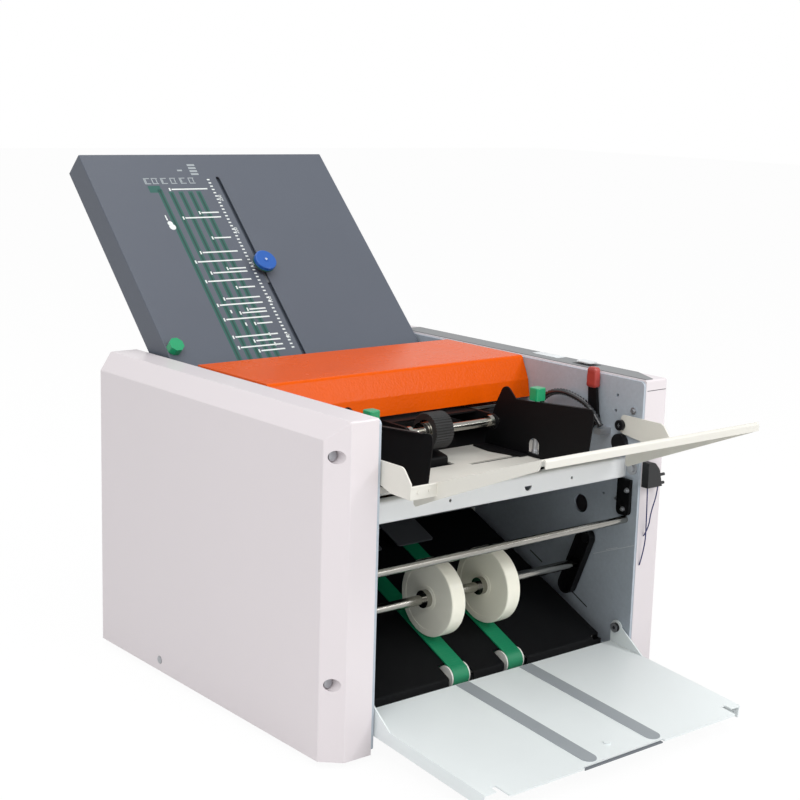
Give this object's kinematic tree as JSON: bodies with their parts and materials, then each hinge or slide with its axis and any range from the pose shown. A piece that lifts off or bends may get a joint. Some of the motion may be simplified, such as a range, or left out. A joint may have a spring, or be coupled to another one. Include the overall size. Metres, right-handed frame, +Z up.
{
  "type": "desk paper folding machine",
  "caption": "Desk paper folder: boxed side covers, hinged top cover, sloped upper fold plate, friction feed table with side guides, folding rollers, belt delivery and exit tray.",
  "frame": {"origin": "centre of the machine's overall box at the height of the feet's undersides", "axes": "+X to the right seen from the delivery side, +Y to the rear, where the fold plate leans, +Z up"},
  "size_m": [0.4468, 0.7524, 0.5243],
  "materials": {
    "cover_paint": "satin off-white paint",
    "panel_grey": "matt grey film",
    "key_pale": "matt",
    "frame_steel": "plain zinc-grey plate",
    "screw_steel": "machined",
    "bright_steel": "bright",
    "black_metal": "satin black",
    "black_plastic": "matt black",
    "orange_paint": "hammered orange enamel",
    "slate_paint": "fine textured slate grey",
    "table_white": "satin white",
    "beam_white": "satin white",
    "tray_paint": "satin pale green-white",
    "wheel_cream": "cast cream plastic",
    "pulley_white": "white plastic",
    "belt_green": "smooth green",
    "feed_rubber": "ribbed black",
    "roller_rubber": "ground grey",
    "belt_black": "plain",
    "foot_rubber": "plain",
    "knob_green": "glossy",
    "knob_blue": "glossy",
    "grip_red": "glossy",
    "guide_grey": "plain",
    "wire_blue": "insulated lead",
    "loom_black": "corrugated",
    "bronze": "sintered",
    "motor_grey": "satin"
  },
  "bodies": {
    "base": {"left_cover": "cover_paint", "right_cover": "cover_paint", "control_housing": "cover_paint", "control_panel": "panel_grey", "cover_screws": "screw_steel", "left_frame": "frame_steel", "right_frame": "frame_steel", "base_plate": "frame_steel", "feet": "foot_rubber", "back_panel": "cover_paint", "inlet_module": "black_plastic", "front_beam": "beam_white", "cross_bars": "bright_steel", "tie_plates": "black_metal", "frame_fittings": "black_metal", "pivot_pins": "screw_steel", "sensor_block": "black_plastic", "sensor_wire_long": "wire_blue", "sensor_wire_short": "wire_blue", "wire_loom": "loom_black", "fold_plate": "slate_paint", "fold_plate_back": "slate_paint", "lower_fold_plate": "black_metal", "roller_bearings": "bronze", "motor": "motor_grey", "drive_belts": "belt_black", "separator_bar": "black_metal", "deck": "black_metal", "delivery_belts": "belt_green", "delivery_guide": "guide_grey"},
    "start_key": {"start_key": "key_pale"},
    "switch_rocker": {"switch_rocker": "black_plastic"},
    "top_cover": {"top_cover": "orange_paint"},
    "fold_stop": {"fold_stop": "guide_grey"},
    "stop_knob": {"stop_knob": "knob_blue"},
    "clamp_knob": {"clamp_knob": "knob_green"},
    "lower_fold_stop": {"lower_fold_stop": "guide_grey"},
    "roller_1": {"fold_roller_1": "roller_rubber"},
    "roller_2": {"fold_roller_2": "roller_rubber"},
    "roller_3": {"fold_roller_3": "roller_rubber"},
    "roller_4": {"fold_roller_4": "roller_rubber"},
    "motor_pulley": {"motor_pulley": "screw_steel"},
    "head_shaft": {"head_shaft": "bright_steel"},
    "head_arm": {"head_arm": "black_metal"},
    "feed_roller": {"feed_roller": "feed_rubber", "feed_shaft": "bright_steel"},
    "feed_table": {"feed_table": "table_white"},
    "right_guide": {"right_guide": "black_metal"},
    "left_guide": {"left_guide": "black_metal"},
    "right_guide_knob": {"right_guide_knob": "knob_green"},
    "left_guide_knob": {"left_guide_knob": "knob_green"},
    "lever": {"lever_stem": "black_metal", "lever_grip": "grip_red"},
    "front_pulleys": {"front_pulleys": "pulley_white"},
    "rear_pulleys": {"rear_pulleys": "pulley_white"},
    "nip_arms": {"swing_arms": "black_metal"},
    "nip_wheels": {"nip_wheels": "wheel_cream", "nip_shaft": "bright_steel"},
    "exit_tray": {"exit_tray": "tray_paint"},
    "tray_extension": {"tray_extension": "guide_grey"}
  },
  "joints": [
    {"name": "start_key_press", "type": "slide", "parent": "base", "child": "start_key", "axis": [0, 0, -1], "range_m": [0, 0.0015], "stiffness_N_per_m": 400, "springref_m": -0.002},
    {"name": "power_rocker", "type": "hinge", "parent": "base", "child": "switch_rocker", "pos_m": [-0.084, 0.20895, 0.067], "axis": [1, 0, 0], "range_deg": [-6, 6]},
    {"name": "top_cover_hinge", "type": "hinge", "parent": "base", "child": "top_cover", "pos_m": [0, 0.09145, 0.314], "axis": [-1, 0, 0], "range_deg": [0, 95]},
    {"name": "fold_stop_slide", "type": "slide", "parent": "base", "child": "fold_stop", "axis": [0, 0.6984, 0.7157], "range_m": [-0.09, 0.122]},
    {"name": "stop_knob_turn", "type": "hinge", "parent": "fold_stop", "child": "stop_knob", "pos_m": [0, 0.23457, 0.40259], "axis": [0, -0.7157, 0.6984], "range_deg": [-180, 0]},
    {"name": "clamp_knob_turn", "type": "hinge", "parent": "base", "child": "clamp_knob", "pos_m": [-0.16, 0.16334, 0.32959], "axis": [0, -0.7157, 0.6984], "range_deg": [-180, 0]},
    {"name": "lower_stop_slide", "type": "slide", "parent": "base", "child": "lower_fold_stop", "axis": [0, 0.9903, -0.1392], "range_m": [-0.08, 0.085]},
    {"name": "roller_2_turn", "type": "hinge", "parent": "base", "child": "roller_2", "pos_m": [0, 0.06645, 0.21919], "axis": [1, 0, 0], "continuous": true},
    {"name": "roller_1_turn", "type": "hinge", "parent": "base", "child": "roller_1", "pos_m": [0, 0.05045, 0.2469], "axis": [1, 0, 0], "continuous": true},
    {"name": "roller_3_turn", "type": "hinge", "parent": "base", "child": "roller_3", "pos_m": [0, 0.09736, 0.21091], "axis": [1, 0, 0], "continuous": true},
    {"name": "roller_4_turn", "type": "hinge", "parent": "base", "child": "roller_4", "pos_m": [0, 0.09098, 0.17955], "axis": [1, 0, 0], "continuous": true},
    {"name": "motor_turn", "type": "hinge", "parent": "base", "child": "motor_pulley", "pos_m": [0, 0.12445, 0.077], "axis": [1, 0, 0], "continuous": true},
    {"name": "head_shaft_turn", "type": "hinge", "parent": "base", "child": "head_shaft", "pos_m": [0, -0.01555, 0.269], "axis": [1, 0, 0], "continuous": true},
    {"name": "head_arm_swing", "type": "hinge", "parent": "base", "child": "head_arm", "pos_m": [0, -0.01555, 0.269], "axis": [1, 0, 0], "range_deg": [-4, 4]},
    {"name": "feed_roller_turn", "type": "hinge", "parent": "head_arm", "child": "feed_roller", "pos_m": [0, -0.07755, 0.268], "axis": [1, 0, 0], "continuous": true},
    {"name": "table_lift", "type": "hinge", "parent": "base", "child": "feed_table", "pos_m": [0, -0.17955, 0.273], "axis": [1, 0, 0], "range_deg": [0, 6]},
    {"name": "lever_turn", "type": "hinge", "parent": "base", "child": "lever", "pos_m": [0, -0.14155, 0.274], "axis": [1, 0, 0], "range_deg": [0, 13]},
    {"name": "right_guide_slide", "type": "slide", "parent": "feed_table", "child": "right_guide", "axis": [1, 0, 0], "range_m": [-0.015, 0.036]},
    {"name": "left_guide_slide", "type": "slide", "parent": "feed_table", "child": "left_guide", "axis": [-1, 0, 0], "range_m": [-0.015, 0.036]},
    {"name": "right_guide_knob_turn", "type": "hinge", "parent": "right_guide", "child": "right_guide_knob", "pos_m": [0.1102, -0.11355, 0.267], "axis": [0, 0, 1], "range_deg": [-180, 0]},
    {"name": "left_guide_knob_turn", "type": "hinge", "parent": "left_guide", "child": "left_guide_knob", "pos_m": [-0.1102, -0.11355, 0.267], "axis": [0, 0, 1], "range_deg": [-180, 0]},
    {"name": "rear_pulleys_turn", "type": "hinge", "parent": "base", "child": "rear_pulleys", "pos_m": [0, 0.04445, 0.13137], "axis": [1, 0, 0], "continuous": true},
    {"name": "front_pulleys_turn", "type": "hinge", "parent": "base", "child": "front_pulleys", "pos_m": [0, -0.16305, 0.04071], "axis": [1, 0, 0], "continuous": true},
    {"name": "nip_arms_swing", "type": "hinge", "parent": "base", "child": "nip_arms", "pos_m": [0, -0.14055, 0.143], "axis": [1, 0, 0], "range_deg": [0, 25]},
    {"name": "nip_wheels_turn", "type": "hinge", "parent": "nip_arms", "child": "nip_wheels", "pos_m": [0, -0.12805, 0.1117], "axis": [1, 0, 0], "continuous": true},
    {"name": "exit_tray_hinge", "type": "hinge", "parent": "base", "child": "exit_tray", "pos_m": [0, -0.18845, 0.0559], "axis": [-1, 0, 0], "range_deg": [0, 55]},
    {"name": "tray_extension_slide", "type": "slide", "parent": "exit_tray", "child": "tray_extension", "axis": [0, -0.996, -0.0889], "range_m": [0, 0.08]}
  ],
  "couplings": [
    {"joint": "roller_1_turn", "follows": "roller_2_turn", "ratio": -1},
    {"joint": "roller_3_turn", "follows": "roller_2_turn", "ratio": -1},
    {"joint": "roller_4_turn", "follows": "roller_2_turn", "ratio": 1},
    {"joint": "motor_turn", "follows": "roller_2_turn", "ratio": 2.2},
    {"joint": "head_shaft_turn", "follows": "roller_2_turn", "ratio": -1},
    {"joint": "feed_roller_turn", "follows": "roller_2_turn", "ratio": -1},
    {"joint": "rear_pulleys_turn", "follows": "roller_2_turn", "ratio": -1},
    {"joint": "front_pulleys_turn", "follows": "roller_2_turn", "ratio": -1},
    {"joint": "nip_wheels_turn", "follows": "roller_2_turn", "ratio": 0.29337},
    {"joint": "table_lift", "follows": "lever_turn", "ratio": 0.46154}
  ]
}
